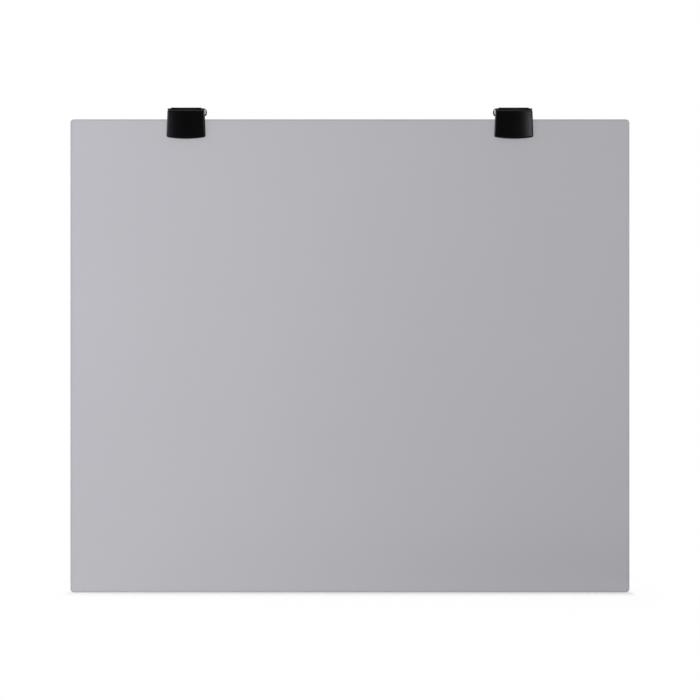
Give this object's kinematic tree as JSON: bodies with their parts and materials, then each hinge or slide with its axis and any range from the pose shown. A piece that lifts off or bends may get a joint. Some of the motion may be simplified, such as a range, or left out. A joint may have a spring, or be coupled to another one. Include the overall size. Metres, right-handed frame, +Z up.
{
  "type": "anti-glare monitor filter",
  "caption": "Frameless tinted acrylic anti-glare pane with black top clips whose hinged wire hangers hook over the top edge of a flat monitor.",
  "frame": {"origin": "midway between the clips, on the plane of the monitor's front, where the underside of the wire hangers bears on the monitor's top edge", "axes": "+Z up along the pane, +Y from the viewer towards the monitor, +X to the viewer's right along the pane's top edge"},
  "size_m": [0.41, 0.0254, 0.356],
  "materials": {
    "tinted_acrylic": "satin",
    "clip_plastic": "satin",
    "foam_tape": "matte",
    "coated_wire": "satin"
  },
  "bodies": {
    "filter": {"filter_pane": "tinted_acrylic", "left_clip_cap": "clip_plastic", "left_clip_tape": "foam_tape", "right_clip_cap": "clip_plastic", "right_clip_tape": "foam_tape"},
    "left_hanger": {"left_hanger_wire": "coated_wire"},
    "right_hanger": {"right_hanger_wire": "coated_wire"}
  },
  "joints": [
    {"name": "left_hanger_hinge", "type": "hinge", "parent": "filter", "child": "left_hanger", "pos_m": [-0.1201, -0.00345, 0.00045], "axis": [1, 0, 0], "range_deg": [-70, 170]},
    {"name": "right_hanger_hinge", "type": "hinge", "parent": "filter", "child": "right_hanger", "pos_m": [0.1201, -0.00345, 0.00045], "axis": [1, 0, 0], "range_deg": [-70, 170]}
  ]
}
